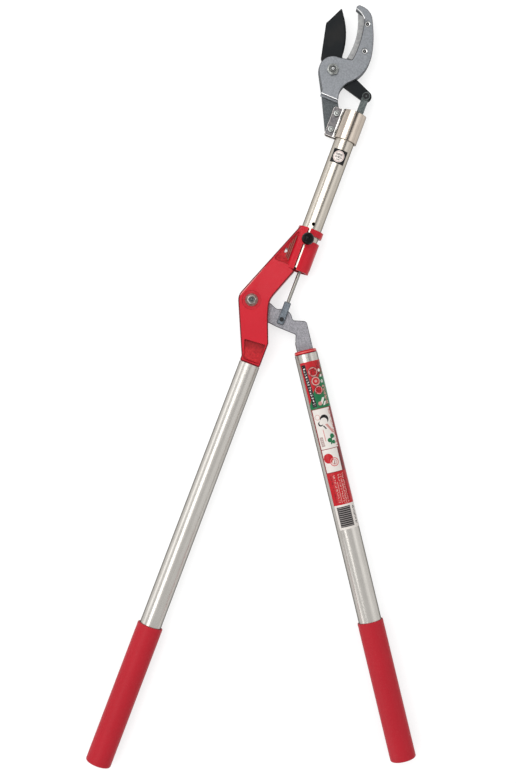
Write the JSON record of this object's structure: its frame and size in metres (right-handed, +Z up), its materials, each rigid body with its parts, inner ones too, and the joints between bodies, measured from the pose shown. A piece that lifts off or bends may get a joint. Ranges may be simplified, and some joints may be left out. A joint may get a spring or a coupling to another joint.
{
  "type": "pole lopper",
  "caption": "Pole lopper with a fixed and a moving handle on a cast bracket, a push rod inside a short pole, and a hooked anvil head with a swinging blade.",
  "frame": {"origin": "middle of the box round the whole tool, on the surface it lies on", "axes": "+Y along the pole towards the blade, +X towards the moving handle, +Z up out of the tool's front"},
  "size_m": [0.426, 1.002, 0.0501],
  "materials": {
    "red_casting": "gloss red paint on a light alloy casting",
    "red_grip": "smooth red plastic sleeve",
    "anodised_tube": "satin anodised",
    "cast_grey": "blasted grey casting",
    "cast_light": "blasted light grey",
    "painted_base": "dark blue-grey coating",
    "coated_blade": "black non-stick coating",
    "anvil_alloy": "rough milled",
    "zinc_steel": "zinc plated",
    "polished_stainless": "polished stainless sheet",
    "dark_steel": "black oxide",
    "black_knob": "gloss black",
    "printed_film": null,
    "bronze_bush": "bronze"
  },
  "bodies": {
    "frame": {"bracket": "red_casting", "left_handle_tube": "anodised_tube", "left_grip": "red_grip", "pole_tube": "anodised_tube", "pole_sticker": "printed_film", "head_collar": "polished_stainless", "collar_bolt_upper": "zinc_steel", "collar_bolt_lower": "zinc_steel", "collar_nut_upper": "zinc_steel", "collar_nut_lower": "zinc_steel", "head_base": "painted_base", "head_spacer": "cast_light", "hook_plate": "cast_light", "anvil": "anvil_alloy", "anvil_screw_upper": "zinc_steel", "anvil_screw_lower": "zinc_steel", "blade_pivot_bolt": "zinc_steel", "blade_pivot_nut": "zinc_steel", "main_pivot_bolt": "zinc_steel", "main_pivot_washer": "zinc_steel", "main_pivot_nut": "zinc_steel", "lock_barrel": "zinc_steel"},
    "lever": {"lever": "cast_grey", "pivot_bush": "bronze_bush", "tube_plug": "red_casting", "right_handle_tube": "anodised_tube", "right_grip": "red_grip", "handle_label": "printed_film"},
    "rod": {"clevis": "dark_steel", "clevis_pin": "dark_steel", "push_rod": "zinc_steel", "link_strap_front": "dark_steel", "link_strap_rear": "dark_steel", "rod_rivet": "zinc_steel"},
    "blade": {"blade": "coated_blade", "tail_pin": "dark_steel"},
    "lock": {"lock_knob": "black_knob", "lock_pin": "zinc_steel", "lock_spring": "zinc_steel"}
  },
  "joints": [
    {"name": "lever_hinge", "type": "hinge", "parent": "frame", "child": "lever", "pos_m": [-0.17858, 0.11002, 0.0163], "axis": [0, 0, -1], "range_deg": [0, 17.5]},
    {"name": "rod_hinge", "type": "hinge", "parent": "lever", "child": "rod", "pos_m": [-0.13517, 0.10071, 0.0163], "axis": [0, 0, -1], "range_deg": [-17.8, 0]},
    {"name": "blade_hinge", "type": "hinge", "parent": "frame", "child": "blade", "pos_m": [-0.18468, 0.41372, 0.0163], "axis": [0, 0, -1], "range_deg": [0, 15.2]},
    {"name": "lock_slide", "type": "slide", "parent": "frame", "child": "lock", "axis": [0, 0, 1], "range_m": [0, 0.0045], "stiffness_N_per_m": 800, "springref_m": -0.006, "deforming": ["lock_spring"]}
  ],
  "couplings": [
    {"joint": "rod_hinge", "follows": "lever_hinge", "ratio": -1.0115},
    {"joint": "blade_hinge", "follows": "lever_hinge", "ratio": 0.8652}
  ]
}
